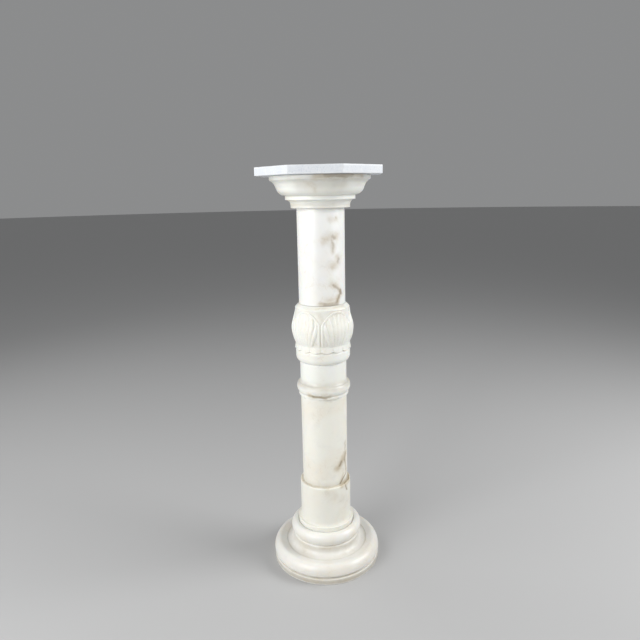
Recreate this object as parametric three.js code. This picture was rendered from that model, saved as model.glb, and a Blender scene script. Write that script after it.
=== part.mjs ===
// A stone pedestal column one metre high: a round moulded base, a shaft in three lengths with an
// astragal ring and a carved leaf collar, a round moulded capital and an eight-sided marble top slab.
// Millimetres, +Z up. The origin is the middle of the underside, and the front faces -Y.
// Each moulding's radius is given as how far it stands out from the one before it.
import * as THREE from "three";

// Every stone is turned on its axis and bedded on the one below with a thin joint.
const joint = 0.3;
const turnedSides = 36;
const edgeRounding = 1.2;

// The lower and middle shafts share one radius, and the upper shaft is a little thinner.
const shaftRadius = 57.5;
const lowerShaftLength = 234.5;
const middleShaftLength = 86.7;
const upperShaftSetback = 1.3;
const upperShaftLength = 224;

// Drum under the lower shaft, turned in one with it.
const drumProjection = 7.2;
const drumHeight = 119.2;
const drumFootProjection = 6.9;
const drumFootHeight = 14.6;
const drumCavetto = 10;

// Base, from its seat for the drum outwards and down: small torus, fillet, scotia, big torus and plinth.
const seatDepth = 3.8;
const smallTorusProjection = 19.5;
const smallTorusRound = 14;
const smallTorusHeight = 33.8;
const filletSetback = 4.6;
const filletHeight = 11;
const scotiaProjection = 19.1;
const scotiaHeight = 14.3;
const bigTorusProjection = 32.8;
const bigTorusRound = 17;
const bigTorusCrest = 23.1;
const bigTorusUnder = 10.4;
const bigTorusBack = 4.2;
const plinthSetback = 1;
const plinthHeight = 15.4;
const quirkDepth = 3;

// Astragal ring at the foot of the middle shaft, turned in one with it.
const ringFilletProjection = 4.4;
const ringFilletHeight = 8;
const ringProjection = 9.2;
const ringRound = 7.5;
const ringHalfHeight = 12.6;
const ringFlare = 6;
const ringFlareHeight = 9;
const ringFlareRise = 7.3;

// Leaf collar: a plain torus, a band of scales, a neck, the leaf bulb, a lip and a shoulder.
const collarSides = 90;
const collarBedProjection = 1.1;
const collarTorusProjection = 9.3;
const collarTorusRound = 11;
const collarTorusMiddle = 15;
const collarTorusHeight = 25.5;
const scaleCount = 15;
const scaleBandHeight = 20.7;
const scaleProjection = 2.3;
const scaleEdgeRise = 5.7;
const scaleDrop = 4;
const scaleRelief = 1.2;
const scaleNotch = 1.1;
const scaleLip = 1.4;
const neckProjection = 9.2;
const bulbProjection = 8.8;
const bulbHeight = 87;
const lipProjection = 9.5;
const lipGroove = 0.8;
const shoulderHeight = 9.8;
const shoulderRound = 40;
const shoulderStart = 35;
const shoulderEnd = 54.5;

// Carving of the bulb. Heights are shares of the bulb's height and widths are shares of half a leaf.
const bulbWidest = 0.44;
const bulbLip = 0.95;
const leafCount = 5;
const leafShoulder = 0.56;
const leafTip = 0.97;
const leafArch = 0.8;
const leafRim = 0.06;
const leafEdge = 0.015;
const leafSideRim = 0.13;
const rimSlope = 1.5;
const partingShare = 0.6;
const leafRecess = 1.7;
const leafGround = 3;
const partingDepth = 2.2;
const lobeRelief = 2.1;
const lobeTipRound = 0.12;
const lobeFan = 0.54;
const lobes = [
  { middle: 0, halfWidth: 0.24, tip: 0.92 },
  { middle: 0.52, halfWidth: 0.24, tip: 0.82 },
  { middle: 0.78, halfWidth: 0.14, tip: 0.66 },
];

// Capital: necking band, cavetto, fillet, cyma and top band.
const neckingProjection = 13.2;
const neckingHeight = 5;
const cavettoProjection = 11.6;
const cavettoHeight = 13.7;
const capFilletProjection = 0.8;
const capFilletHeight = 9.6;
const cymaBellyProjection = 21.2;
const cymaBellyHeight = 20;
const cymaBellyRise = 23.5;
const cymaHollowAcross = 21;
const cymaHollowUp = 19.5;
const cymaHollowDrop = 3.9;
const cymaHollowHeight = 14.9;
const capBandProjection = 14.3;
const capBandHeight = 9.1;

// Top slab: a regular octagon with its flats square to the axes.
const slabAcross = 283;
const slabThickness = 18.5;
const slabSides = 8;
const slabChamfer = 0.9;

const alabaster = new THREE.MeshStandardMaterial({ color: 0xece6d8, roughness: 0.38, metalness: 0 });
const veinedAlabaster = new THREE.MeshStandardMaterial({ color: 0xe9e2d6, roughness: 0.35, metalness: 0 });
const whiteMarble = new THREE.MeshStandardMaterial({ color: 0xeef0f2, roughness: 0.4, metalness: 0 });

// Points of an ellipse's arc about (radius, height); 0 degrees points away from the axis and 90 up.
function arc(radius, height, across, up, from, to, steps) {
  const points = [];
  for (let i = 0; i <= steps; i++) {
    const angle = THREE.MathUtils.degToRad(from + ((to - from) * i) / steps);
    points.push([radius + across * Math.cos(angle), height + up * Math.sin(angle)]);
  }
  return points;
}

// A turned stone: its outline runs from the edge of the underside, up the outside, to the edge of the top.
function turned(outline, sides) {
  const top = outline[outline.length - 1][1];
  const closed = [[0, outline[0][1]], ...outline, [0, top]];
  const profile = closed.map(([radius, height]) => new THREE.Vector2(radius, height));
  return new THREE.LatheGeometry(profile, sides).rotateX(Math.PI / 2);
}

// A turned stone whose outline changes on the way round; outlineAt gives it for an angle from the front.
function carved(outlineAt, sides) {
  const geometry = turned(outlineAt(0), sides);
  const position = geometry.getAttribute("position");
  const rows = position.count / (sides + 1);
  for (let side = 0; side <= sides; side++) {
    const angle = ((side % sides) / sides) * 2 * Math.PI;
    outlineAt(angle).forEach(([radius, height], row) => {
      const vertex = side * rows + row + 1;
      position.setXYZ(vertex, radius * Math.sin(angle), -radius * Math.cos(angle), height);
    });
  }
  return geometry;
}

const column = new THREE.Group();
let bedHeight = 0;

// Each stone is made from its own underside up, and stands on the joint over the one before it.
function stand(name, geometry, material, height) {
  const stone = new THREE.Mesh(geometry, material);
  stone.name = name;
  stone.position.z = bedHeight;
  column.add(stone);
  bedHeight += height + joint;
}

const drumRadius = shaftRadius + drumProjection;
const drumFootRadius = drumRadius + drumFootProjection;
const upperShaftRadius = shaftRadius - upperShaftSetback;

const lowerShaftHeight = drumHeight + lowerShaftLength;

const bigTorusMiddle = plinthHeight + bigTorusUnder;
const scotiaFoot = bigTorusMiddle + bigTorusCrest - bigTorusBack;
const filletFoot = scotiaFoot + scotiaHeight;
const smallTorusFoot = filletFoot + filletHeight;
const baseHeight = smallTorusFoot + smallTorusHeight - seatDepth;

function baseOutline() {
  const smallTorusRadius = drumFootRadius + smallTorusProjection;
  const filletRadius = smallTorusRadius - filletSetback;
  const scotiaRadius = filletRadius + scotiaProjection;
  const bigTorusRadius = scotiaRadius + bigTorusProjection;
  const plinthRadius = bigTorusRadius - plinthSetback;
  const bigAxis = bigTorusRadius - bigTorusRound;
  const smallAxis = smallTorusRadius - smallTorusRound;
  const smallHalf = smallTorusHeight / 2;
  const smallMiddle = smallTorusFoot + smallHalf;
  const scotiaAcross = scotiaProjection + edgeRounding;
  return [
    [plinthRadius - edgeRounding, 0],
    [plinthRadius, edgeRounding],
    [plinthRadius, plinthHeight - edgeRounding],
    [plinthRadius - quirkDepth, plinthHeight],
    ...arc(bigAxis, bigTorusMiddle, bigTorusRound, bigTorusUnder, -60, 0, 2),
    ...arc(bigAxis, bigTorusMiddle, bigTorusRound, bigTorusCrest, 18, 105, 5),
    ...arc(scotiaRadius, filletFoot, scotiaAcross, scotiaHeight, 270, 190, 3),
    [filletRadius, filletFoot],
    [filletRadius, smallTorusFoot],
    ...arc(smallAxis, smallMiddle, smallTorusRound, smallHalf, -62, 98, 7),
    [drumFootRadius + edgeRounding / 2, baseHeight],
  ];
}

function lowerShaftOutline() {
  const cavettoTop = drumFootHeight + drumCavetto;
  const footEdge = drumFootRadius - edgeRounding;
  return [
    [drumFootRadius, 0],
    [drumFootRadius, drumFootHeight],
    ...arc(footEdge, cavettoTop, footEdge - drumRadius, drumCavetto, 270, 180, 3),
    [drumRadius, drumHeight - edgeRounding],
    [drumRadius - edgeRounding, drumHeight],
    [shaftRadius, drumHeight],
    [shaftRadius, lowerShaftHeight],
  ];
}

function middleShaftOutline() {
  const ringMiddle = ringFilletHeight + ringHalfHeight;
  const ringAxis = shaftRadius + ringProjection - ringRound;
  const flareTop = ringMiddle + ringHalfHeight + ringFlareRise;
  return [
    [shaftRadius + ringFilletProjection, 0],
    [shaftRadius + ringFilletProjection, ringFilletHeight],
    ...arc(ringAxis, ringMiddle, ringRound, ringHalfHeight, -62, 58, 6),
    ...arc(shaftRadius + ringFlare, flareTop, ringFlare, ringFlareHeight, 250, 180, 3),
    [shaftRadius, middleShaftLength],
  ];
}

const torusRadius = shaftRadius + collarTorusProjection;
const neckRadius = shaftRadius + neckProjection;
const bulbRadius = neckRadius + bulbProjection;
const lipRadius = shaftRadius + lipProjection;
const bulbFoot = collarTorusHeight + scaleBandHeight;
const bulbTop = bulbFoot + bulbHeight;
const collarHeight = bulbTop + shoulderHeight;

const smooth = (value, low, high) => THREE.MathUtils.smoothstep(value, low, high);

// Place within one of a number of equal parts round the collar, from -1 at one edge to 1 at the other.
function across(angle, count) {
  const turn = (angle / (2 * Math.PI)) * count;
  return 2 * (turn - Math.floor(turn)) - 1;
}

// Four points up one scale: its round lower edge hangs over a notch at the top of the torus.
function scalePoints(place) {
  const edge = collarTorusHeight + scaleEdgeRise + scaleDrop * place * place;
  const swell = scaleRelief * place * place;
  return [
    [torusRadius, collarTorusHeight],
    [torusRadius - scaleNotch, edge - scaleLip],
    [torusRadius + scaleProjection - swell, edge],
    [neckRadius + (scaleProjection - swell) / 2, (edge + bulbFoot) / 2],
  ];
}

function bulbRadiusAt(rise) {
  if (rise > bulbWidest) return bulbRadius - (bulbRadius - lipRadius) * smooth(rise, bulbWidest, bulbLip);
  const below = 1 - rise / bulbWidest;
  return bulbRadius - bulbProjection * below * below;
}

// How far a leaf's face lies behind its rim, between the parting to the next leaf and its middle rib.
function leafDepth(place, rise, inside) {
  const side = Math.abs(place);
  const fromRim = Math.min(inside / leafRim, (1 - side) / leafSideRim);
  const face = smooth(fromRim, 1, rimSlope);
  let depth = leafRecess;
  for (const lobe of lobes) {
    const spread = lobeFan + (1 - lobeFan) * Math.sin((Math.PI / 2) * Math.min(1, rise / lobe.tip));
    const along = (side - lobe.middle * spread) / (lobe.halfWidth * spread);
    if (Math.abs(along) >= 1) continue;
    depth -= lobeRelief * (1 - along * along) * smooth(lobe.tip - rise, 0, lobeTipRound);
  }
  return face * depth + partingDepth * (1 - smooth(fromRim, 0, partingShare));
}

// Points up the bulb: the rows bend with the leaf's arched top, so that its rim and edge stay sharp.
function bulbPoints(place) {
  const arch = Math.pow(1 - place * place, leafArch);
  const top = leafShoulder + (leafTip - leafShoulder) * arch;
  const faceTop = top - rimSlope * leafRim;
  const faceRows = 4;
  const points = [];
  for (let i = 0; i <= faceRows; i++) {
    const rise = (faceTop * i) / faceRows;
    const depth = leafDepth(place, rise, top - rise) * smooth(i, 0, 1);
    points.push([bulbRadiusAt(rise) - depth, rise]);
  }
  const rimFoot = top - leafRim;
  const side = (1 - Math.abs(place)) / leafSideRim;
  const parting = partingDepth * (1 - smooth(side, 0, partingShare));
  const ground = top + leafEdge;
  const half = (1 + ground) / 2;
  points.push([bulbRadiusAt(rimFoot) - parting, rimFoot]);
  points.push([bulbRadiusAt(top) - parting, top]);
  points.push([bulbRadiusAt(ground) - leafGround * arch - partingDepth * (1 - arch), ground]);
  points.push([bulbRadiusAt(half) - leafGround / 2, half]);
  return points.map(([radius, rise]) => [radius, bulbFoot + bulbHeight * rise]);
}

function collarOutline(angle) {
  const torusAxis = torusRadius - collarTorusRound;
  const shoulderEdge = lipRadius - edgeRounding / 2;
  const shoulderAxis = shoulderEdge - shoulderRound * Math.cos(THREE.MathUtils.degToRad(shoulderStart));
  const shoulderMiddle = collarHeight - shoulderRound * Math.sin(THREE.MathUtils.degToRad(shoulderEnd));
  return [
    [shaftRadius + collarBedProjection, 0],
    ...arc(torusAxis, collarTorusMiddle, collarTorusRound, collarTorusMiddle, -60, 0, 3),
    ...scalePoints(across(angle, scaleCount)),
    ...bulbPoints(across(angle, leafCount)),
    [lipRadius - lipGroove, bulbTop],
    ...arc(shoulderAxis, shoulderMiddle, shoulderRound, shoulderRound, shoulderStart, shoulderEnd, 3),
    [upperShaftRadius, collarHeight],
  ];
}

function upperShaftOutline() {
  return [
    [upperShaftRadius, 0],
    [upperShaftRadius, upperShaftLength],
  ];
}

const capitalCavettoTop = neckingHeight + cavettoHeight;
const capitalFilletTop = capitalCavettoTop + capFilletHeight;
const cymaMiddle = capitalFilletTop + cymaBellyHeight;
const cymaTop = cymaMiddle + cymaHollowHeight;
const capitalHeight = cymaTop + capBandHeight;

function capitalOutline() {
  const neckingRadius = upperShaftRadius + neckingProjection;
  const cavettoRadius = neckingRadius + cavettoProjection;
  const filletRadius = cavettoRadius + capFilletProjection;
  const cymaBelly = filletRadius + cymaBellyProjection;
  const hollowAxis = cymaBelly + cymaHollowAcross + edgeRounding / 2;
  const hollowMiddle = cymaMiddle - cymaHollowDrop;
  return [
    [neckingRadius, 0],
    [neckingRadius, neckingHeight],
    ...arc(cavettoRadius, neckingHeight, cavettoProjection, cavettoHeight, 165, 95, 3),
    [filletRadius, capitalCavettoTop],
    [filletRadius, capitalFilletTop],
    ...arc(filletRadius, capitalFilletTop + cymaBellyRise, cymaBellyProjection, cymaBellyRise, -85, -12, 4),
    ...arc(hollowAxis, hollowMiddle, cymaHollowAcross, cymaHollowUp, 164, 115, 3),
    [cymaBelly + capBandProjection, cymaTop],
    [cymaBelly + capBandProjection, capitalHeight],
  ];
}

function slabGeometry() {
  const corner = slabAcross / 2 / Math.cos(Math.PI / slabSides);
  const corners = [];
  for (let i = 0; i < slabSides; i++) {
    const angle = ((i + 0.5) * 2 * Math.PI) / slabSides;
    corners.push(new THREE.Vector2(corner * Math.cos(angle), corner * Math.sin(angle)));
  }
  return new THREE.ExtrudeGeometry(new THREE.Shape(corners), {
    depth: slabThickness - 2 * slabChamfer,
    bevelSize: slabChamfer,
    bevelThickness: slabChamfer,
    bevelOffset: -slabChamfer,
    bevelSegments: 1,
  }).translate(0, 0, slabChamfer);
}

stand("base", turned(baseOutline(), turnedSides), alabaster, baseHeight);
stand("lower_shaft", turned(lowerShaftOutline(), turnedSides), veinedAlabaster, lowerShaftHeight);
stand("middle_shaft", turned(middleShaftOutline(), turnedSides), alabaster, middleShaftLength);
stand("leaf_collar", carved(collarOutline, collarSides), alabaster, collarHeight);
stand("upper_shaft", turned(upperShaftOutline(), turnedSides), veinedAlabaster, upperShaftLength);
stand("capital", turned(capitalOutline(), turnedSides), alabaster, capitalHeight);
stand("top_slab", slabGeometry(), whiteMarble, slabThickness);

export default column;
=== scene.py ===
import math

import bmesh
import bpy
import numpy as np
from mathutils import Matrix, Vector, noise


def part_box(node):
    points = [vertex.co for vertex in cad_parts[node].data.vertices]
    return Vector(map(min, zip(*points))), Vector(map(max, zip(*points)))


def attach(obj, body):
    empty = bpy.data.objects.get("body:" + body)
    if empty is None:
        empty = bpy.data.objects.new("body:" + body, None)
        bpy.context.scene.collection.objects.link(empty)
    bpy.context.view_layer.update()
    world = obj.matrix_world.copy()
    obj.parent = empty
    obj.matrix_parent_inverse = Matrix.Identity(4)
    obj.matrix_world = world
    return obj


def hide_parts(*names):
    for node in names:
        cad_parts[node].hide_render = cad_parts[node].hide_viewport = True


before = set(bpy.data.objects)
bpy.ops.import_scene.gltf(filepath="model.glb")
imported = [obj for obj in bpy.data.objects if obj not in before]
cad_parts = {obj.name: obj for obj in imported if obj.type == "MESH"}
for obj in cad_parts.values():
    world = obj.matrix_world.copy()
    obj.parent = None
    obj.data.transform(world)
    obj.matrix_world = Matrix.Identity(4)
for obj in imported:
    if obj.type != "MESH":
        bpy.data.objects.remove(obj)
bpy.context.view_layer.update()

# Base
# The foot of the column is one block of cream alabaster, turned on a lathe and polished by hand: a
# plinth band, a big torus, a scotia, a fillet and a small torus with a seat sunk in it for the drum.

MM = 0.001
FRONT = -math.pi / 2
BED_ROUNDING = 1.2


def arc(radius, height, across, up, start, end, steps=10):
    """Points of an ellipse's arc in mm; 0 degrees points away from the axis and 90 up."""
    turns = [math.radians(start + (end - start) * i / steps) for i in range(steps + 1)]
    return [(radius + across * math.cos(turn), height + up * math.sin(turn)) for turn in turns]


def closer(outline, gap):
    """The same outline with points added, so that no stretch of it is longer than the gap."""
    points = [outline[0]]
    for before, after in zip(outline, outline[1:]):
        steps = max(1, math.ceil(math.dist(before, after) / gap))
        for i in range(1, steps + 1):
            points.append(tuple(a + (b - a) * i / steps for a, b in zip(before, after)))
    return points


def turned(outline, node, sides=300, gap=2.0):
    """A closed bmesh spun from an outline in mm, which starts at the foot of the node's box."""
    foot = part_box(node)[0].z
    bm = bmesh.new()
    ring = [(0, outline[0][1]), *closer(outline, gap), (0, outline[-1][1])]
    points = [bm.verts.new((0, -radius * MM, foot + height * MM)) for radius, height in ring]
    edges = [bm.edges.new(pair) for pair in zip(points, points[1:])]
    full_turn = {"cent": (0, 0, 0), "axis": (0, 0, 1), "angle": math.tau, "use_merge": True}
    bmesh.ops.spin(bm, geom=points + edges, steps=sides, **full_turn)
    bmesh.ops.remove_doubles(bm, verts=bm.verts, dist=0.005 * MM)
    bmesh.ops.recalc_face_normals(bm, faces=bm.faces)
    return bm


def smooth(value, low, high):
    """0 below low, 1 above high, and a soft step between them."""
    share = min(max((value - low) / (high - low), 0.0), 1.0)
    return share * share * (3 - 2 * share)


def measure_hollows(bm, passes=10):
    """How far each point lies below the smoothed surface round it, in mm; less than 0 on a ridge."""
    start = [vert.co.copy() for vert in bm.verts]
    bm.normal_update()
    normals = [vert.normal.copy() for vert in bm.verts]
    for _ in range(passes):
        bmesh.ops.smooth_vert(
            bm, verts=bm.verts, factor=0.5, use_axis_x=True, use_axis_y=True, use_axis_z=True
        )
    depths = []
    for vert, place, normal in zip(bm.verts, start, normals):
        depths.append((vert.co - place).dot(normal) / MM)
        vert.co = place
    return depths


def wear(bm, wander=0.12, nick=0.5):
    """Takes the machine look off a stone: its faces wander slightly, and its edges get small nicks."""
    depths = measure_hollows(bm, passes=3)
    for vert, depth in zip(bm.verts, depths):
        ridge = smooth(-depth, 0.05, 0.25)
        chance = noise.noise(vert.co * 130) + 0.5 * noise.noise(vert.co * 330)
        bite = ridge * smooth(chance, 0.32, 0.75) * nick
        wave = noise.noise(vert.co * 22) * wander
        vert.co += vert.normal * ((wave - bite - wander) * MM)


def on_stone(degrees, radius, height):
    """A place in metres, from degrees off the front, a radius, and a height above the floor in mm."""
    angle = FRONT + math.radians(degrees)
    return Vector((radius * math.cos(angle), radius * math.sin(angle), height)) * MM


def line(radius, *spots):
    """A path round a stone at one radius, from (degrees off the front, height above the floor) pairs."""
    return [(degrees, radius, height) for degrees, height in spots]


def ring(radius, height):
    """A path all the way round a stone."""
    return line(radius, *[(degrees, height) for degrees in range(-180, 181, 20)])


def stroke(places, points, width):
    """How strongly a path of points marks each place: 1 on the path, falling softly over the width."""
    nearest = np.full(len(places), 1.0)
    for start, end in zip(points, points[1:] or points):
        along = np.array(end - start)
        length = max(float(along @ along), 1e-12)
        share = np.clip((places - np.array(start)) @ along / length, 0, 1)
        away = places - np.array(start) - share[:, None] * along
        nearest = np.minimum(nearest, np.sqrt((away * away).sum(1)))
    return np.exp(-((nearest / (width * MM)) ** 2))


def mark(mesh, layer, strokes):
    """Writes soft marks to a point attribute. A stroke is a path, its width in mm and its strength."""
    wander = 2.2
    noise.seed_set(5)
    places = []
    for vert in mesh.vertices:
        places.append(vert.co + noise.noise_vector(vert.co * 75) * (wander * MM))
    places = np.array(places)
    total = np.zeros(len(places))
    for path, width, strength in strokes:
        total = np.maximum(total, strength * stroke(places, [on_stone(*point) for point in path], width))
    mesh.attributes.new(layer, "FLOAT", "POINT").data.foreach_set("value", total.astype(np.float32))


def place_stone(bm, node, slot, material, veins=(), stains=(), tints_and_shades=()):
    """Makes a finished stone of a bmesh, which stands for the plain stone of the same node."""
    depths = measure_hollows(bm)
    sharp = math.radians(38)
    for edge in bm.edges:
        edge.smooth = edge.calc_face_angle(0) < sharp
    for face in bm.faces:
        face.smooth = True
    mesh = bpy.data.meshes.new("carved_" + node)
    bm.to_mesh(mesh)
    bm.free()
    mesh.attributes.new("hollow", "FLOAT", "POINT").data.foreach_set("value", depths)
    mark(mesh, "vein", veins)
    mark(mesh, "stain", stains)
    # Painted shade and some tints go to a third layer.
    mark(mesh, "tint_and_shade", tints_and_shades)
    mesh.materials.append(material)
    stone = bpy.data.objects.new("carved_" + node, mesh)
    bpy.context.scene.collection.objects.link(stone)
    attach(stone, "root")
    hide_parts(node)
    return stone


class Wire:
    """A shader socket that adds Math nodes when it is used in an expression."""

    def __init__(self, finish, socket):
        self.finish = finish
        self.socket = socket

    def math(self, operation, *values):
        return self.finish.node("ShaderNodeMath", {"operation": operation}, dict(enumerate(values)))

    def __add__(self, other):
        return self.math("ADD", self, other)

    def __sub__(self, other):
        return self.math("SUBTRACT", self, other)

    def __rsub__(self, other):
        return self.math("SUBTRACT", other, self)

    def __mul__(self, other):
        return self.math("MULTIPLY", self, other)

    __radd__ = __add__
    __rmul__ = __mul__


class Finish:
    """The material of one stone and the nodes that paint it."""

    def __init__(self, name, constants):
        self.material = bpy.data.materials.new(name)
        self.material.use_nodes = True
        self.tree = self.material.node_tree
        self.shader = self.tree.nodes["Principled BSDF"]
        for socket, value in constants.items():
            self.shader.inputs[socket].default_value = value
        self.place = self.node("ShaderNodeTexCoord", output="Object")

    def node(self, kind, settings={}, inputs={}, output=0):
        """Adds a node: its settings first, then a value or a link for each socket."""
        made = self.tree.nodes.new(kind)
        for name, value in settings.items():
            setattr(made, name, value)
        for name, value in inputs.items():
            self.feed(made.inputs[name], value)
        return Wire(self, made.outputs[output])

    def feed(self, socket, value):
        if isinstance(value, Wire):
            self.tree.links.new(value.socket, socket)
        else:
            socket.default_value = value

    def noise(self, scale, detail=3.0, roughness=0.5, distortion=0.0):
        inputs = {"Vector": self.place, "Scale": scale, "Detail": detail}
        inputs |= {"Roughness": roughness, "Distortion": distortion}
        return self.node("ShaderNodeTexNoise", {}, inputs)

    def step(self, value, low, high):
        """0 below low, 1 above high, and a soft step between them."""
        inputs = {"Value": value, "From Min": low, "From Max": high}
        return self.node("ShaderNodeMapRange", {"interpolation_type": "SMOOTHSTEP"}, inputs)

    def layer(self, name):
        return self.node("ShaderNodeAttribute", {"attribute_name": name}, output="Fac")

    def blend(self, under, over, share):
        settings = {"data_type": "RGBA"}
        return self.node("ShaderNodeMix", settings, {"Factor": share, 6: under, 7: over}, output=2)

    def paint(self, color, roughness, relief, depth):
        """Feeds the shader: its colour, its roughness, and a bump of the given depth in metres."""
        self.feed(self.shader.inputs["Base Color"], color)
        self.feed(self.shader.inputs["Roughness"], roughness)
        bump = self.node("ShaderNodeBump", {}, {"Height": relief, "Distance": depth, "Strength": 1.0})
        self.feed(self.shader.inputs["Normal"], bump)
        return self.material


def alabaster(name, pale, warm, grey):
    """Cream alabaster with a worn polish: cloudy, faintly see-through, with brown veins, old dirt, and
    painted shade where its mouldings shade each other.
    """
    constants = {"Subsurface Weight": 0.3, "Subsurface Scale": 0.012, "IOR": 1.52, "Coat Weight": 0.12}
    finish = Finish(name, constants)
    finish.shader.inputs["Subsurface Radius"].default_value = (1.0, 0.8, 0.55)
    finish.shader.inputs["Coat Roughness"].default_value = 0.25
    clouds = finish.noise(scale=8, detail=4, roughness=0.55, distortion=0.9)
    mottle = finish.noise(scale=46, detail=5, roughness=0.6, distortion=0.4)
    grain = finish.noise(scale=420, detail=2)
    threads = finish.noise(scale=17, detail=6, roughness=0.62, distortion=1.6)

    color = finish.blend(pale, warm, finish.step(clouds, 0.42, 0.66))
    color = finish.blend(color, grey, finish.step(mottle, 0.5, 0.75) * 0.5)
    ridge = threads.math("ABSOLUTE", threads - 0.5)
    thread = (1 - finish.step(ridge, 0.0, 0.022)) * finish.step(clouds, 0.5, 0.62)
    color = finish.blend(color, (0.66, 0.58, 0.46, 1), thread * 0.3)

    ragged = (mottle - 0.5) * 0.9 + (grain - 0.5) * 0.25
    # Painted shade: this layer darkens the stone towards grey-tan where one moulding shades another, and
    # on the drum it is a real tan tint.
    tint_and_shade = finish.layer("tint_and_shade") * (0.7 + mottle * 0.6)
    color = finish.blend(color, (0.46, 0.42, 0.345, 1), tint_and_shade * 0.8)
    smoke = finish.step(finish.layer("stain") + ragged * 0.8, 0.05, 1.1)
    color = finish.blend(color, (0.5, 0.41, 0.27, 1), smoke * 0.8)
    vein = finish.step(finish.layer("vein") + ragged * 0.5, 0.2, 0.95)
    color = finish.blend(color, (0.26, 0.19, 0.11, 1), vein * 0.75)

    hollow = finish.layer("hollow")
    dirt = finish.step(hollow + (mottle - 0.5) * 0.25, 0.03, 0.55)
    color = finish.blend(color, (0.54, 0.5, 0.39, 1), dirt * 0.32)
    rub = finish.step(0 - hollow, 0.05, 0.6)
    color = finish.blend(color, (0.92, 0.91, 0.86, 1), rub * 0.3)

    roughness = 0.34 + (mottle - 0.5) * 0.2 + dirt * 0.22 + smoke * 0.08 - rub * 0.05
    relief = mottle * 0.6 + grain * 0.12 - vein * 0.5 - thread * 0.15
    return finish.paint(color, roughness, relief, 0.35 * MM)


plain_alabaster = alabaster(
    "cream_alabaster", (0.87, 0.88, 0.83, 1), (0.855, 0.845, 0.775, 1), (0.815, 0.825, 0.79, 1)
)

lower_shafts_thicker = 1.3
drum_projection = 7.2
drum_foot_projection = 6.9
shaft_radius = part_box("upper_shaft")[1].x / MM + lower_shafts_thicker
drum_radius = shaft_radius + drum_projection
drum_foot_radius = drum_radius + drum_foot_projection

plinth_setback = 1
plinth_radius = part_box("base")[1].x / MM - plinth_setback
plinth_height = 15.4
quirk_depth = 3
big_torus_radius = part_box("base")[1].x / MM
big_torus_round = 17
big_torus_middle = 25.8
big_torus_crest = 23.1
big_torus_under = 10.4
scotia_radius = 105.6
scotia_foot = 44.7
scotia_height = 14.3
scotia_lip = 1.2
fillet_radius = 86.5
fillet_foot = 59.0
fillet_height = 11
small_torus_radius = 91.1
small_torus_round = 14
small_torus_height = 33.8
base_height = 100
seat_play = 0.5
seat_wall = 2.6

plinth_edge = plinth_radius - BED_ROUNDING
big_axis = big_torus_radius - big_torus_round
small_axis = small_torus_radius - small_torus_round
small_half = small_torus_height / 2
small_middle = fillet_foot + fillet_height + small_half
base_outline = [
    *arc(plinth_edge, BED_ROUNDING, BED_ROUNDING, BED_ROUNDING, -90, 0, 3),
    *arc(plinth_edge, plinth_height - BED_ROUNDING, BED_ROUNDING, BED_ROUNDING, 0, 80, 3),
    (plinth_radius - quirk_depth, plinth_height + 0.4),
    *arc(big_axis, big_torus_middle, big_torus_round, big_torus_under, -62, 0, 10),
    *arc(big_axis, big_torus_middle, big_torus_round, big_torus_crest, 4, 100, 22),
    *arc(scotia_radius + 1, scotia_foot + 0.6, scotia_lip, scotia_lip, 60, 170, 3),
    *arc(scotia_radius, fillet_foot, scotia_radius - fillet_radius, scotia_height, 262, 190, 14),
    (fillet_radius, fillet_foot + 0.8),
    (fillet_radius, fillet_foot + fillet_height - 0.5),
    *arc(small_axis, small_middle, small_torus_round, small_half, -62, 98, 24),
    (drum_foot_radius + 0.7, base_height + seat_wall),
    (drum_foot_radius + seat_play, base_height),
]
base = turned(base_outline, "base", sides=330)
wear(base)
base_stains = [
    ([(-95, 96, 58), (-60, 94, 55), (-35, 92, 56)], 8, 0.35),
    ([(-8, 89, 66), (20, 89, 69), (38, 89, 66)], 5, 0.6),
    ([(30, 95, 52), (50, 96, 54), (75, 95, 56)], 7, 0.4),
    ([(-20, 136, 8), (15, 137, 6), (40, 137, 8)], 8, 0.35),
]
# Painted shade at the plinth's foot, in the fillet and scotia creases, under the small torus and on the
# big torus.
base_painted_shade = [
    (ring(plinth_radius, 6), 9, 0.95),
    (ring(fillet_radius, 63), 8, 0.5),
    (ring(small_torus_radius, 80), 10, 0.28),
    (ring(100, 46), 8, 0.2),
    (ring(134, 32), 12, 0.15),
]
base_alabaster = alabaster(
    "worn_alabaster", (0.83, 0.82, 0.775, 1), (0.8, 0.77, 0.7, 1), (0.77, 0.77, 0.74, 1)
)
place_stone(base, "base", "alabaster", base_alabaster, stains=base_stains, tints_and_shades=base_painted_shade)

# Lower shaft and drum
# One turned length of veined alabaster: a plain round shaft on a wider drum. A rusty vein runs down its
# right side, over the drum's ledge and into the drum, where an old crack has opened along it.

veined_alabaster = alabaster(
    "veined_alabaster", (0.86, 0.85, 0.775, 1), (0.84, 0.805, 0.71, 1), (0.79, 0.79, 0.735, 1)
)
drum_foot_height = 14.6
drum_cavetto = 10
drum_height = 119.2
ledge_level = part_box("lower_shaft")[0].z / MM + drum_height
lower_shaft_height = (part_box("lower_shaft")[1].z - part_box("lower_shaft")[0].z) / MM

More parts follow.
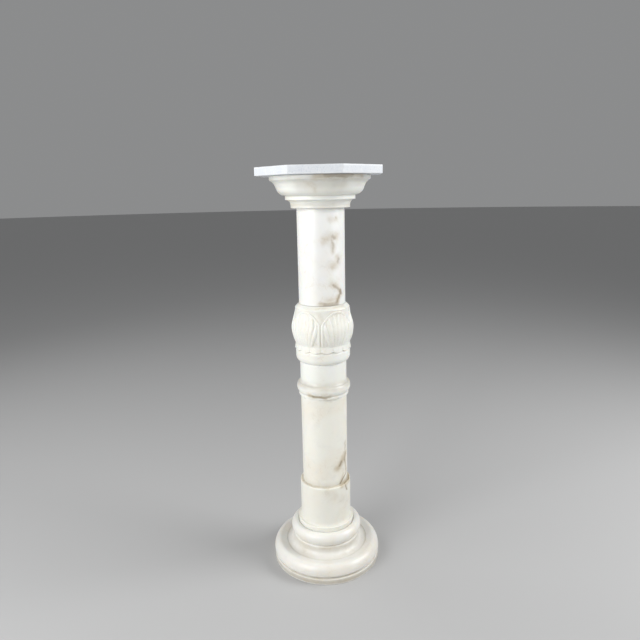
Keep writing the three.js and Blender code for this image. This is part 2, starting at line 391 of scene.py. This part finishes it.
rim_round = 2.6
arris = 0.4
foot_edge = drum_foot_radius - BED_ROUNDING
cavetto_top = drum_foot_height + drum_cavetto
lower_outline = [
    (drum_foot_radius - 0.6, 0),
    (drum_foot_radius, 0.6),
    *arc(foot_edge, drum_foot_height - BED_ROUNDING, BED_ROUNDING, BED_ROUNDING, 0, 90, 3),
    *arc(foot_edge - arris, cavetto_top, foot_edge - arris - drum_radius, drum_cavetto, 262, 180, 8),
    *arc(drum_radius - rim_round, drum_height - rim_round, rim_round, rim_round, 0, 90, 7),
    (shaft_radius + 0.7, drum_height),
    (shaft_radius, drum_height + 0.9),
    (shaft_radius, lower_shaft_height - arris),
    (shaft_radius - arris, lower_shaft_height),
]
lower = turned(lower_outline, "lower_shaft", sides=270)
wear(lower)
ledge = shaft_radius + 3
lower_veins = [
    (line(shaft_radius, (50, 280), (43, 273)), 6, 0.85),
    (line(shaft_radius, (68, 318), (67, 298), (63, 284), (68, 262), (72, 250)), 3, 0.7),
    (line(shaft_radius, (74, 244), (60, 236), (50, 229), (44, 223)), 3, 1.0),
    (line(ledge, (98, ledge_level), (80, ledge_level), (56, ledge_level)), 2.6, 0.9),
    (line(drum_radius, (55, 219), (57, 212), (62, 200)), 2.2, 0.95),
    (line(drum_radius, (86, 218), (92, 212)), 2.2, 0.8),
    (line(shaft_radius, (168, 408), (182, 383), (178, 351), (196, 322)), 3.2, 0.6),
    (line(shaft_radius, (196, 322), (214, 301), (219, 268)), 3, 0.55),
    (line(drum_radius, (216, 206), (228, 171), (224, 142)), 3, 0.5),
]
lower_stains = [
    (line(shaft_radius, (66, 296), (54, 284), (45, 275), (37, 268)), 13, 0.85),
    (line(shaft_radius, (48, 262), (62, 250)), 9, 0.35),
    (line(shaft_radius, (68, 325), (66, 290), (71, 250)), 8, 0.6),
    (line(shaft_radius, (58, 246), (47, 226)), 7, 0.65),
    (line(ledge, (-95, ledge_level), (-60, ledge_level), (-25, ledge_level)), 5, 0.55),
    (line(ledge, (-25, ledge_level), (10, ledge_level), (45, ledge_level)), 5, 0.6),
    (line(ledge, (45, ledge_level), (70, ledge_level), (110, ledge_level)), 9, 0.95),
    (line(drum_radius, (56, 215), (62, 203)), 6, 0.65),
    (line(drum_radius, (8, 208), (28, 196), (42, 182)), 20, 0.3),
    (line(shaft_radius, (166, 412), (182, 380), (198, 318)), 10, 0.5),
    (line(shaft_radius, (-128, 352), (-112, 330)), 14, 0.4),
    (line(ledge, (140, ledge_level), (180, ledge_level), (230, ledge_level)), 6, 0.7),
    (line(drum_radius, (214, 208), (226, 168)), 12, 0.45),
    (line(shaft_radius, (5, 452), (20, 449)), 6, 0.4),
]
lower_films = [
    (ring(shaft_radius, 224), 8, 0.3),
    (ring(drum_radius, 165), 60, 0.1),
    (line(drum_radius, (0, 150), (12, 175), (20, 205)), 26, 0.12),
]
lower_marks = {"veins": lower_veins, "stains": lower_stains, "tints_and_shades": lower_films}
place_stone(lower, "lower_shaft", "veined_alabaster", veined_alabaster, **lower_marks)

# Middle shaft
# A short length of cream alabaster with an astragal ring turned at its foot. Damp has left a dark brown
# stain in the crease under the ring, a little left of the front.

ring_fillet_radius = shaft_radius + 4.4
ring_fillet_height = 8
ring_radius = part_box("middle_shaft")[1].x / MM
ring_round = 7.5
ring_half_height = 12.6
ring_middle = ring_fillet_height + ring_half_height
ring_flare = 6
ring_flare_height = 9
ring_flare_rise = 7.3
flare_top = ring_middle + ring_half_height + ring_flare_rise
middle_height = (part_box("middle_shaft")[1].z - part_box("middle_shaft")[0].z) / MM
middle_outline = [
    (ring_fillet_radius - 0.5, 0),
    (ring_fillet_radius, 0.5),
    (ring_fillet_radius, ring_fillet_height),
    *arc(ring_radius - ring_round, ring_middle, ring_round, ring_half_height, -62, 58, 20),
    *arc(shaft_radius + ring_flare, flare_top, ring_flare, ring_flare_height, 246, 180, 9),
    (shaft_radius, middle_height - arris),
    (shaft_radius - arris, middle_height),
]
middle = turned(middle_outline, "middle_shaft", sides=270)
wear(middle)
ring_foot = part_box("middle_shaft")[0].z / MM
under_ring = ring_foot + ring_fillet_height
middle_veins = [
    (line(ring_fillet_radius + 1, (-20, under_ring + 1), (-2, under_ring + 1)), 5, 0.8),
    (line(ring_fillet_radius + 1, (-8, under_ring), (8, ring_foot + 5)), 4.5, 0.85),
    (line(ring_fillet_radius, (6, ring_foot + 2), (16, ring_foot + 1)), 2.2, 0.6),
]
middle_stains = [
    (line(ring_fillet_radius + 2, (-28, under_ring + 2), (16, under_ring + 1)), 8, 0.85),
    (line(ring_radius, (0, ring_foot + 14), (10, ring_foot + 17)), 5, 0.45),
    (line(ring_fillet_radius, (18, ring_foot + 2), (38, ring_foot + 2)), 4, 0.6),
]
# Painted shade on the ring's upper slope, and a band that dims the ring's highlight.
middle_painted_shade = [
    (ring(shaft_radius + 5, ring_foot + 31), 9, 0.7),
    (ring(ring_radius, ring_foot + 19), 6, 0.2),
]
middle_marks = {"veins": middle_veins, "stains": middle_stains, "tints_and_shades": middle_painted_shade}
place_stone(middle, "middle_shaft", "alabaster", plain_alabaster, **middle_marks)

# Leaf collar
# One carved stone: a plain torus, a row of hanging scales, and a bulb cut with five broad leaves. Each
# leaf has a raised rim under an arched top, and seven pointed reeds that fan out from its foot.

collar_foot_overhang = 1.1
torus_radius = shaft_radius + 9.3
torus_round = 11
torus_middle = 15
torus_height = 25.5
scale_count = 15
scale_edge_rise = 5.7
scale_drop = 4
scale_projection = 2.3
scale_relief = 1.2
scale_notch = 1.5
scale_parting = 1.2
neck_radius = shaft_radius + 9.2
bulb_radius = neck_radius + 8.8
bulb_foot = torus_height + 20.7
bulb_height = 87
bulb_top = bulb_foot + bulb_height
bulb_widest = 0.44
bulb_lip = 0.95
lip_radius = shaft_radius + 9.5
leaf_count = 5
leaf_shoulder = 0.56
leaf_tip = 0.975
leaf_arch = 0.8
leaf_rim = 0.045
leaf_side_rim = 0.115
leaf_recess = 1.3
leaf_ground = 1.9
parting_depth = 1.9
parting_width = 0.06
reed_fan = 0.54
reed_taper = 0.3
reeds = [
    (0.0, 0.14, 0.95, 0.9),
    (0.27, 0.135, 0.92, 0.9),
    (0.55, 0.15, 0.85, 1.6),
    (0.78, 0.145, 0.68, 1.8),
]
collar_height = (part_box("leaf_collar")[1].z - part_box("leaf_collar")[0].z) / MM


def part_of(angle, count):
    """Place within one of the equal parts round the collar, from -1 at one edge to 1 at the other."""
    turn = angle / math.tau * count
    return 2 * (turn - math.floor(turn)) - 1


def scale_radius(place, height):
    """The torus, a notch over it, and one scale whose round lower edge hangs over the notch."""
    edge = torus_height + scale_edge_rise + scale_drop * place * place
    under = torus_radius - scale_notch * smooth(height, torus_height, edge - 1)
    crown = torus_radius + scale_projection - scale_relief * place * place
    recede = min(max((height - edge) / (bulb_foot - edge), 0), 1)
    face = crown + (neck_radius - crown) * recede
    face -= scale_parting * smooth(abs(place), 0.75, 1) * smooth(height, edge, edge + 3) * (1 - recede)
    overhang = smooth(height, edge - 0.9, edge + 0.5)
    return under + (face - under) * overhang


def bulb_radius_at(rise):
    """The bulb's plain surface, from its neck at 0 to its lip near 1."""
    if rise > bulb_widest:
        return bulb_radius - (bulb_radius - lip_radius) * smooth(rise, bulb_widest, bulb_lip)
    below = 1 - rise / bulb_widest
    return bulb_radius - (bulb_radius - neck_radius) * below * below


def reed_height(side, rise):
    """How far a leaf's reeds stand up from its face. A reed is (place, half width, tip, relief)."""
    height = 0
    for middle_place, half_width, tip, relief in reeds:
        below_tip = tip - rise
        if below_tip > 0:
            spread = reed_fan + (1 - reed_fan) * math.sin(math.pi / 2 * rise / tip)
            width = half_width * spread * min(1, below_tip / reed_taper) ** 0.6
            along = (side - middle_place * spread) / width
            if abs(along) < 1:
                height += relief * (1 - along * along) ** 0.7 * smooth(below_tip, 0, 0.08)
    return height


def leaf_depth(place, rise):
    """How far the carving goes below the bulb's own surface at a place across one leaf."""
    side = abs(place)
    arch = max(0.0, 1 - side * side) ** leaf_arch
    top = leaf_shoulder + (leaf_tip - leaf_shoulder) * arch
    if rise > top:
        ground = leaf_ground * arch + parting_depth * (1 - arch)
        fade = 1 - 0.45 * smooth(rise, top, 1.02)
        return ground * fade * smooth(rise - top, 0, 0.018)
    from_rim = min((top - rise) / leaf_rim, (1 - side) / leaf_side_rim)
    face = smooth(from_rim, 0.8, 1.6)
    parting = parting_depth * (1 - smooth(1 - side, 0, parting_width))
    depth = leaf_recess - reed_height(side, rise)
    return face * depth * smooth(rise, 0, 0.06) + parting * smooth(rise, -0.01, 0.05)


torus_axis = torus_radius - torus_round
shoulder_edge = lip_radius - 0.6
shoulder_round = 40
shoulder_start = 35
shoulder_end = 54.5
shoulder_axis = shoulder_edge - shoulder_round * math.cos(math.radians(shoulder_start))
shoulder_middle = collar_height - shoulder_round * math.sin(math.radians(shoulder_end))
shoulder_arc = (shoulder_round, shoulder_round, shoulder_start, shoulder_end)
carved_rows = 190
carved_height = bulb_top - torus_middle
collar_outline = [
    (shaft_radius + collar_foot_overhang, 0),
    *arc(torus_axis, torus_middle, torus_round, torus_middle, -62, 0, 14),
    *[(torus_radius, torus_middle + carved_height * i / carved_rows) for i in range(1, carved_rows)],
    (lip_radius - 0.8, bulb_top),
    *arc(shoulder_axis, shoulder_middle, *shoulder_arc, 10),
    (shaft_radius - lower_shafts_thicker, collar_height),
]
collar = turned(collar_outline, "leaf_collar", sides=420)
collar_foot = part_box("leaf_collar")[0].z
for vert in collar.verts:
    height = (vert.co.z - collar_foot) / MM
    if torus_middle + 0.2 < height < bulb_top - 0.05 and vert.co.xy.length > 0.9 * torus_radius * MM:
        angle = math.atan2(vert.co.y, vert.co.x) - FRONT
        if height < bulb_foot:
            radius = scale_radius(part_of(angle, scale_count), height)
        else:
            rise = (height - bulb_foot) / bulb_height
            radius = bulb_radius_at(rise) - leaf_depth(part_of(angle, leaf_count), rise)
        vert.co.xy = vert.co.xy.normalized() * (radius * MM)
wear(collar, wander=0.1, nick=0.25)
collar_stains = [
    (line(62, (-8, 681), (30, 682), (60, 682)), 5, 0.5),
    (line(67, (-4, 668), (3, 655)), 7, 0.35),
]
place_stone(collar, "leaf_collar", "alabaster", plain_alabaster, stains=collar_stains)

# Upper shaft
# A plain turned length of whiter veined stone, a little thinner than the shafts below. Smoky blotches
# come down its right side, and one vein hooks round and runs left along its foot.

upper_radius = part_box("upper_shaft")[1].x / MM
upper_height = (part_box("upper_shaft")[1].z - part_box("upper_shaft")[0].z) / MM
upper_outline = [
    (upper_radius - arris, 0),
    (upper_radius, arris),
    (upper_radius, upper_height - arris),
    (upper_radius - arris, upper_height),
]
upper = turned(upper_outline, "upper_shaft", sides=270)
white_alabaster = alabaster(
    "white_alabaster", (0.89, 0.895, 0.875, 1), (0.88, 0.87, 0.83, 1), (0.83, 0.835, 0.82, 1)
)
wear(upper)
upper_veins = [
    (line(upper_radius, (41, 887), (45, 884)), 4, 0.5),
    (line(upper_radius, (32, 846), (37, 842)), 7, 0.7),
    (line(upper_radius, (19, 838), (28, 839), (36, 845), (47, 850)), 4.5, 0.42),
    (line(upper_radius, (29, 839), (33, 828), (34, 814)), 5, 0.55),
    (line(upper_radius, (49, 793), (46, 786)), 6, 0.6),
    (line(upper_radius, (32, 733), (44, 725), (54, 715)), 4.5, 0.62),
    (line(upper_radius, (53, 718), (55, 712)), 6, 0.95),
    (line(upper_radius, (54, 714), (49, 706), (45, 696), (42, 688)), 5, 0.74),
    (line(upper_radius, (42, 688), (34, 686), (24, 685), (10, 687)), 6, 0.95),
    (line(upper_radius, (128, 868), (141, 852), (139, 834), (152, 818)), 4, 0.55),
    (line(upper_radius, (152, 818), (171, 812), (186, 796)), 3.5, 0.5),
    (line(upper_radius, (222, 742), (238, 731), (241, 714)), 4.5, 0.6),
]
upper_stains = [
    (line(upper_radius, (14, 838), (26, 845), (40, 846)), 16, 0.66),
    (line(upper_radius, (30, 838), (34, 812)), 10, 0.62),
    (line(upper_radius, (46, 796), (47, 786), (30, 776)), 13, 0.64),
    (line(upper_radius, (26, 736), (44, 728), (55, 712)), 12, 0.58),
    (line(upper_radius, (48, 705), (43, 690), (22, 686), (2, 687)), 10, 0.9),
    (line(upper_radius, (16, 697), (38, 696)), 13, 0.5),
    (line(upper_radius, (24, 884), (44, 884)), 11, 0.42),
    (line(upper_radius, (126, 870), (140, 850), (154, 818)), 12, 0.55),
    (line(upper_radius, (220, 744), (240, 722)), 13, 0.5),
    (line(upper_radius, (176, 704), (204, 697)), 10, 0.45),
]
place_stone(upper, "upper_shaft", "veined_alabaster", white_alabaster, upper_veins, upper_stains)

# Capital
# A turned block of cream alabaster that spreads from the shaft to the slab: necking band, cavetto,
# fillet, cyma and top band. Brown water marks have crept from under the slab onto its band and cyma.

necking_radius = upper_radius + 13.2
necking_height = 5
cavetto_across = 11.6
cavetto_radius = necking_radius + cavetto_across
cavetto_height = 13.7
cap_fillet_radius = cavetto_radius + 0.8
cap_fillet_height = 9.6
cyma_belly_projection = 21.2
cyma_belly_height = 20
cyma_belly_rise = 23.5
cyma_lip_rise = 14.9
cyma_hollow_across = 21
cyma_hollow_up = 19.5
cyma_hollow_drop = 3.9
cap_band_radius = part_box("capital")[1].x / MM
cap_band_arris = 0.9
capital_height = (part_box("capital")[1].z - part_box("capital")[0].z) / MM
capital_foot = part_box("capital")[0].z / MM

fillet_bottom = necking_height + cavetto_height
fillet_top = fillet_bottom + cap_fillet_height
cyma_middle = fillet_top + cyma_belly_height
cyma_top = cyma_middle + cyma_lip_rise
cyma_foot = fillet_top + cyma_belly_rise
hollow_axis = cap_fillet_radius + cyma_belly_projection + cyma_hollow_across + 0.6
hollow_middle = cyma_middle - cyma_hollow_drop
capital_outline = [
    (necking_radius - 0.6, 0),
    (necking_radius, 0.6),
    *arc(cavetto_radius, necking_height, cavetto_across, cavetto_height, 180, 96, 14),
    (cap_fillet_radius - 0.5, fillet_bottom),
    (cap_fillet_radius, fillet_bottom + 0.6),
    (cap_fillet_radius, fillet_top - 0.7),
    *arc(cap_fillet_radius, cyma_foot, cyma_belly_projection, cyma_belly_rise, -86, -16, 16),
    *arc(hollow_axis, hollow_middle, cyma_hollow_across, cyma_hollow_up, 156, 114, 14),
    (cap_band_radius - cap_band_arris, cyma_top),
    (cap_band_radius, cyma_top + cap_band_arris),
    (cap_band_radius, capital_height - cap_band_arris),
    (cap_band_radius - cap_band_arris, capital_height),
]
capital = turned(capital_outline, "capital", sides=330, gap=1.6)
wear(capital)
band_level = capital_foot + capital_height - 3
cyma_level = capital_foot + cyma_top
cyma_lip_radius = cap_band_radius - 2
capital_veins = [
    (line(cap_band_radius, (10, band_level + 3), (24, band_level + 1), (40, band_level + 3)), 7, 1.1),
    (line(cyma_lip_radius, (14, cyma_level + 1), (20, cyma_level - 2)), 3, 0.45),
]
capital_stains = [
    (line(cap_band_radius, (0, band_level), (26, band_level), (54, band_level + 2)), 9, 0.9),
    (line(cyma_lip_radius, (-4, cyma_level - 1), (26, cyma_level - 3)), 7, 0.5),
    ([(-30, cap_band_radius, band_level), (-14, 111, cyma_level - 4), (-3, 103, 958)], 9, 0.35),
    ([(-2, 102, 954), (-1, 99, 946)], 8, 0.4),
    (line(cap_band_radius, (150, band_level), (196, band_level + 1)), 8, 0.6),
]
# Painted shade: the slab's shadow on the top band and the cyma, and shade in the necking under the
# cavetto.
capital_painted_shade = [
    (line(cap_band_radius, (-18, band_level), (10, band_level), (56, band_level)), 12, 0.42),
    (line(106, (-22, 962), (10, 962), (32, 962)), 16, 0.42),
    (ring(necking_radius, capital_foot + 3), 9, 0.5),
]
capital_marks = {"veins": capital_veins, "stains": capital_stains, "tints_and_shades": capital_painted_shade}
place_stone(capital, "capital", "alabaster", plain_alabaster, **capital_marks)

# Top slab
# An eight-sided slab of a different stone, white marble with a sugary sawn face and eased edges. It
# only rests on the capital, with one flat to the front.

slab_edge = 0.9
slab_cells = 40
slab_low, slab_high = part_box("top_slab")
slab_half = slab_high.x
slab_corner = slab_half / math.cos(math.pi / 8)
slab = bmesh.new()
bmesh.ops.create_circle(slab, cap_ends=True, segments=8, radius=slab_corner)
bmesh.ops.rotate(slab, verts=slab.verts, matrix=Matrix.Rotation(math.pi / 8, 3, "Z"))
bmesh.ops.translate(slab, verts=slab.verts, vec=(0, 0, slab_low.z))
raised = bmesh.ops.extrude_face_region(slab, geom=slab.faces[:])
upper_verts = [item for item in raised["geom"] if isinstance(item, bmesh.types.BMVert)]
bmesh.ops.translate(slab, verts=upper_verts, vec=(0, 0, slab_high.z - slab_low.z))
bmesh.ops.recalc_face_normals(slab, faces=slab.faces)
bmesh.ops.bevel(
    slab, geom=slab.edges[:], offset=slab_edge * MM, affect="EDGES", segments=3, profile=0.5, material=-1
)
for cell in range(slab_cells):
    level = -slab_half + 2 * slab_half * (cell + 0.5) / slab_cells
    for normal in ((1, 0, 0), (0, 1, 0)):
        geometry = slab.verts[:] + slab.edges[:] + slab.faces[:]
        bmesh.ops.bisect_plane(slab, geom=geometry, plane_co=Vector(normal) * level, plane_no=normal)
for share in (0.2, 0.35, 0.5, 0.65, 0.8):
    geometry = slab.verts[:] + slab.edges[:] + slab.faces[:]
    level = slab_low.z + (slab_high.z - slab_low.z) * share
    bmesh.ops.bisect_plane(slab, geom=geometry, plane_co=(0, 0, level), plane_no=(0, 0, 1))


def white_marble():
    """White marble with a sugary grain: crystals that sparkle a little, and a faint blue-grey drift."""
    constants = {"Subsurface Weight": 0.2, "Subsurface Scale": 0.008, "IOR": 1.5}
    finish = Finish("white_marble", constants)
    finish.shader.inputs["Subsurface Radius"].default_value = (1.0, 0.95, 0.9)
    drift = finish.noise(scale=11, detail=5, roughness=0.6, distortion=1.2)
    crystals = finish.noise(scale=330, detail=3, roughness=0.7)
    patches = finish.noise(scale=70, detail=4, roughness=0.6)
    drifting = finish.step(drift, 0.45, 0.7) * 0.6
    color = finish.blend((0.76, 0.79, 0.825, 1), (0.66, 0.7, 0.755, 1), drifting)
    color = finish.blend(color, (0.52, 0.57, 0.64, 1), finish.step(crystals, 0.48, 0.7) * 0.5)
    color = finish.blend(color, (0.88, 0.9, 0.92, 1), finish.step(patches, 0.5, 0.7) * 0.4)
    hollow = finish.layer("hollow")
    rub = finish.step(0 - hollow, 0.02, 0.3)
    color = finish.blend(color, (0.84, 0.86, 0.88, 1), rub * 0.5)
    stain = finish.step(finish.layer("stain") + (patches - 0.5) * 0.5, 0.2, 0.9)
    color = finish.blend(color, (0.72, 0.62, 0.5, 1), stain * 0.4)
    roughness = 0.5 + (crystals - 0.5) * 0.5 - rub * 0.1
    relief = crystals * 0.7 + patches * 0.3
    return finish.paint(color, roughness, relief, 0.3 * MM)


slab_stains = [([(-20, 120, 1000), (60, 70, 1000), (150, 110, 1000)], 18, 0.25)]
place_stone(slab, "top_slab", "white_marble", white_marble(), stains=slab_stains)

# Floor
# A plain pale floor, so wide that its rim lies far behind the column. It isn't part of the column, and
# only takes its shadow.

floor_reach = 30
ground = bmesh.new()
bmesh.ops.create_circle(ground, cap_ends=True, segments=96, radius=floor_reach)
floor_mesh = bpy.data.meshes.new("floor")
ground.to_mesh(floor_mesh)
ground.free()
floor_finish = Finish("pale_floor", {"Base Color": (0.5, 0.5, 0.5, 1), "Roughness": 0.8})
floor_mesh.materials.append(floor_finish.material)
floor = bpy.data.objects.new("floor", floor_mesh)
bpy.context.scene.collection.objects.link(floor)

# Light
# Tall soft boxes stand round the column: the main one a little left of the camera, a high one on the
# right, and weaker ones at the sides, so that the middle is a little darker than the limbs.

box_distance = 2.2
box_width = 1.4


def soft_box(name, degrees, height, aim_height, tall, power):
    """A soft box that stands at an angle off the front and shines at the column's axis."""
    light = bpy.data.lights.new(name, "AREA")
    light.shape = "RECTANGLE"
    light.size = box_width
    light.size_y = tall
    light.energy = power
    lamp = bpy.data.objects.new(name, light)
    angle = FRONT + math.radians(degrees)
    place = Vector((box_distance * math.cos(angle), box_distance * math.sin(angle), height))
    toward = (Vector((0, 0, aim_height)) - place).to_track_quat("-Z", "Y")
    lamp.matrix_world = Matrix.Translation(place) @ toward.to_matrix().to_4x4()
    bpy.context.scene.collection.objects.link(lamp)


soft_box("main_box", -40, 1.3, 0.5, 2.0, 40)
soft_box("left_box", -70, 1.1, 0.5, 2.0, 10.5)
soft_box("left_back_box", -120, 1.9, 0.8, 1.2, 6.5)
soft_box("right_box", 80, 1.1, 0.5, 2.0, 16.5)
soft_box("right_high_box", 90, 1.9, 0.8, 1.2, 37)
world = bpy.data.worlds.new("studio")
world.use_nodes = True
world.node_tree.nodes["Background"].inputs["Color"].default_value = (0.5, 0.505, 0.51, 1)
world.node_tree.nodes["Background"].inputs["Strength"].default_value = 0.52
bpy.context.scene.world = world
bpy.context.scene.view_settings.view_transform = "Standard"

# Camera
# It looks down on the column from just under the slab's height, turned a few degrees to the right of the
# front, as the picture was taken.

focal_length = 547.0
image_side = 640
sensor_width = 36
camera_place = (0.0905, -1.2987, 0.9436)
camera_turn = math.radians(4.252)
camera_pitch = math.radians(13.138)
camera_roll = math.radians(-1.136)
camera_data = bpy.data.cameras.new("camera")
camera_data.sensor_width = sensor_width
camera_data.lens = focal_length / image_side * sensor_width
camera = bpy.data.objects.new("camera", camera_data)
turn = Matrix.Rotation(camera_turn, 4, "Z")
pitch = Matrix.Rotation(math.pi / 2 - camera_pitch, 4, "X")
roll = Matrix.Rotation(camera_roll, 4, "Z")
camera.matrix_world = Matrix.Translation(camera_place) @ turn @ pitch @ roll
bpy.context.scene.collection.objects.link(camera)
bpy.context.scene.camera = camera
